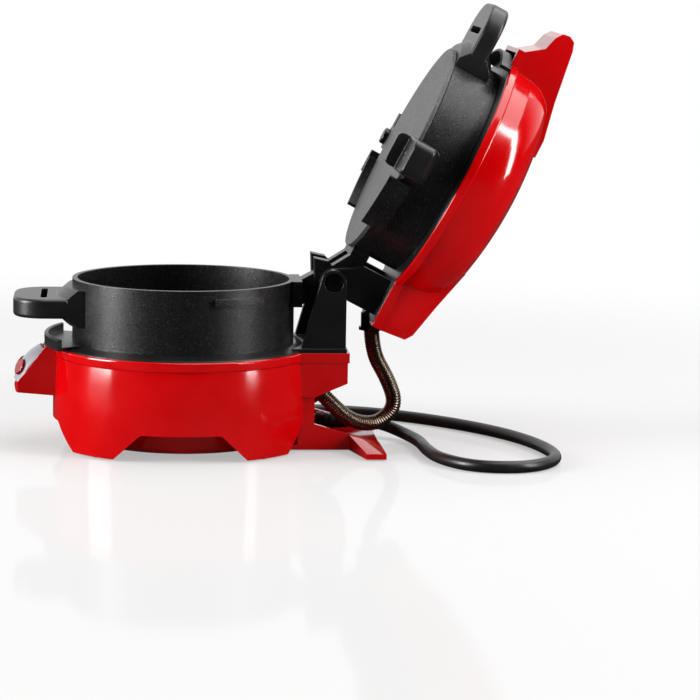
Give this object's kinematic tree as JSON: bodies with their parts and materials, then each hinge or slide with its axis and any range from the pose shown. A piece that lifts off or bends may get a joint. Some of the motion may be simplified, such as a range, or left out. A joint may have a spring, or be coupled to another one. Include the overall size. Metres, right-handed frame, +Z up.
{
  "type": "sandwich maker",
  "caption": "Round countertop sandwich maker with stacked rings, a swing-out cooking plate and a hinged heated cover, shown open.",
  "frame": {"origin": "on the table, under the axis of the two rings", "axes": "+Z up, +X from the control panel to the hinge at the rear, +Y to the user's left"},
  "size_m": [0.2807, 0.2498, 0.2257],
  "materials": {
    "red_plastic": "gloss moulded",
    "black_plastic": "satin moulded",
    "handle_plastic": "fine texture",
    "grey_panel": "satin",
    "lens": "clear gloss",
    "nonstick_coating": "non-stick coating with fine sparkle",
    "heating_plate": "non-stick coating",
    "cooking_plate": "non-stick coating",
    "rubber": "matt",
    "steel": "zinc plated",
    "blackened_steel": "blackened",
    "ceramic": "matt",
    "circuit_board": "lacquered",
    "lamp": "clear",
    "conduit_metal": "bronze-toned, bright ribs",
    "cord_plastic": "satin vinyl",
    "brass": "nickel plated"
  },
  "bodies": {
    "base": {"base_housing": "red_plastic", "rubber_feet": "rubber", "bottom_cover": "red_plastic", "base_screws": "steel", "control_panel": "grey_panel", "power_light_lens": "lens", "preheat_light_lens": "lens", "indicator_board": "circuit_board", "indicator_lamps": "lamp", "top_deck": "black_plastic", "pivot_pin": "steel", "pivot_screws": "blackened_steel", "lower_heating_plate": "heating_plate", "lower_plate_screws": "steel", "lower_heating_element": "steel", "thermostat": "steel", "thermal_fuse": "ceramic", "terminal_block": "ceramic", "lower_ring": "nonstick_coating", "lower_ring_handle": "handle_plastic", "lower_handle_screws": "steel", "conduit": "conduit_metal", "conduit_gland_base": "conduit_metal", "strain_relief": "cord_plastic", "mains_cord": "cord_plastic", "cord_coil": "cord_plastic", "cord_tie": "cord_plastic", "plug_body": "cord_plastic", "plug_blades": "brass"},
    "upper_ring": {"upper_ring": "nonstick_coating", "upper_ring_handle": "handle_plastic", "upper_handle_screws": "steel", "plate_pivot_screw": "blackened_steel"},
    "plate": {"cooking_plate": "cooking_plate", "plate_handle": "handle_plastic", "plate_handle_screw": "steel"},
    "cover": {"cover_shell": "red_plastic", "cover_frame": "black_plastic", "cover_screws": "steel", "upper_heating_plate": "heating_plate", "upper_heating_element": "steel", "upper_thermal_fuse": "ceramic", "upper_heat_shield": "steel", "upper_plate_screws": "steel", "conduit_gland_cover": "conduit_metal"}
  },
  "joints": [
    {"name": "cover_hinge", "type": "hinge", "parent": "base", "child": "cover", "pos_m": [0.075, 0, 0.086], "axis": [0, -1, 0], "range_deg": [0, 117.5], "deforming": ["conduit"]},
    {"name": "upper_ring_hinge", "type": "hinge", "parent": "base", "child": "upper_ring", "pos_m": [0.075, 0, 0.086], "axis": [0, -1, 0], "range_deg": [0, 117.5]},
    {"name": "cooking_plate_pivot", "type": "hinge", "parent": "upper_ring", "child": "plate", "pos_m": [0.1099, 0.064, 0.15239], "axis": [-0.887, 0, 0.4617], "range_deg": [0, 120]}
  ],
  "couplings": [
    {"joint": "upper_ring_hinge", "follows": "cover_hinge", "ratio": 1}
  ]
}
